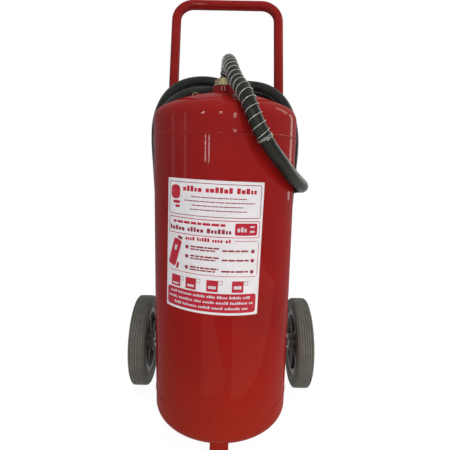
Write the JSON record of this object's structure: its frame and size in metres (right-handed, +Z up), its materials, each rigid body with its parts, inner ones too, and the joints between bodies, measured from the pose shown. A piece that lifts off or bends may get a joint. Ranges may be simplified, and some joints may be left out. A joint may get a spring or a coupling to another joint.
{
  "type": "wheeled fire extinguisher",
  "caption": "Large red powder fire extinguisher on wheels, with a bent tube handle, a coiled hose with a wire guard and discharge gun, and a gas bottle behind the tank.",
  "frame": {"origin": "on the floor, under the middle of the machine's box measured without the hose and discharge gun", "axes": "+Z up, front of the tank towards -Y, wheels' axle along X"},
  "size_m": [0.541, 0.5198, 1.113],
  "materials": {
    "red_paint": "gloss",
    "brass": "satin",
    "seal_rubber": "matt",
    "hose_rubber": "matt",
    "guard_wire": "satin",
    "zinc": "satin",
    "bottle_paint": "satin",
    "rim_plastic": "satin",
    "bush_plastic": "matt",
    "tyre_rubber": "matt",
    "gun_metal": "satin",
    "black_plastic": "satin"
  },
  "bodies": {
    "machine": {"tank_shell": "red_paint", "top_head": "red_paint", "bottom_head": "red_paint", "filler_neck": "red_paint", "filler_cap": "brass", "cap_gasket": "seal_rubber", "outlet_boss": "red_paint", "outlet_elbow": "brass", "hose_nut": "brass", "hose_ferrule": "zinc", "dip_tube": "zinc", "relief_valve": "brass", "relief_spring": "zinc", "gas_inlet": "red_paint", "gas_tube": "zinc", "gas_pipe": "brass", "pipe_nuts": "brass", "gas_bottle": "bottle_paint", "bottle_valve": "brass", "bottle_bands": "zinc", "bottle_backplate": "red_paint", "upper_crossbar": "red_paint", "lower_crossbar": "red_paint", "handle_frame": "red_paint", "hose_hanger": "red_paint", "axle": "zinc", "axle_brackets": "red_paint", "axle_spacers": "rim_plastic", "axle_washers": "zinc", "split_pins": "zinc", "front_foot": "red_paint", "gun_coupling": "brass", "gun_body": "gun_metal", "gun_barrel": "zinc", "gun_horn": "black_plastic", "trigger_pin": "zinc", "gun_clip": "zinc", "hose": "hose_rubber", "spring_guard": "guard_wire"},
    "wheel_left": {"rim_left": "rim_plastic", "tyre_left": "tyre_rubber", "bush_left": "bush_plastic"},
    "wheel_right": {"rim_right": "rim_plastic", "tyre_right": "tyre_rubber", "bush_right": "bush_plastic"},
    "gas_valve": {"handwheel": "red_paint", "valve_spindle": "zinc"},
    "trigger": {"gun_trigger": "black_plastic"},
    "relief": {"relief_stem": "zinc"}
  },
  "joints": [
    {"name": "wheel_left_spin", "type": "hinge", "parent": "machine", "child": "wheel_left", "pos_m": [-0.2305, 0.1133, 0.13], "axis": [1, 0, 0], "continuous": true},
    {"name": "wheel_right_spin", "type": "hinge", "parent": "machine", "child": "wheel_right", "pos_m": [0.2305, 0.1133, 0.13], "axis": [1, 0, 0], "continuous": true},
    {"name": "gas_valve_turn", "type": "hinge", "parent": "machine", "child": "gas_valve", "pos_m": [0, 0.1743, 0.67], "axis": [0, 0, 1], "range_deg": [0, 360]},
    {"name": "gun_trigger_pull", "type": "hinge", "parent": "machine", "child": "trigger", "pos_m": [0.098, 0.1893, 0.4], "axis": [1, 0, 0], "range_deg": [0, 12], "stiffness_Nm_per_rad": 0.6, "springref_deg": -6.88},
    {"name": "relief_lift", "type": "slide", "parent": "machine", "child": "relief", "axis": [0, 0, 1], "range_m": [0, 0.003], "stiffness_N_per_m": 2000, "springref_m": -0.002, "deforming": ["relief_spring"]}
  ]
}
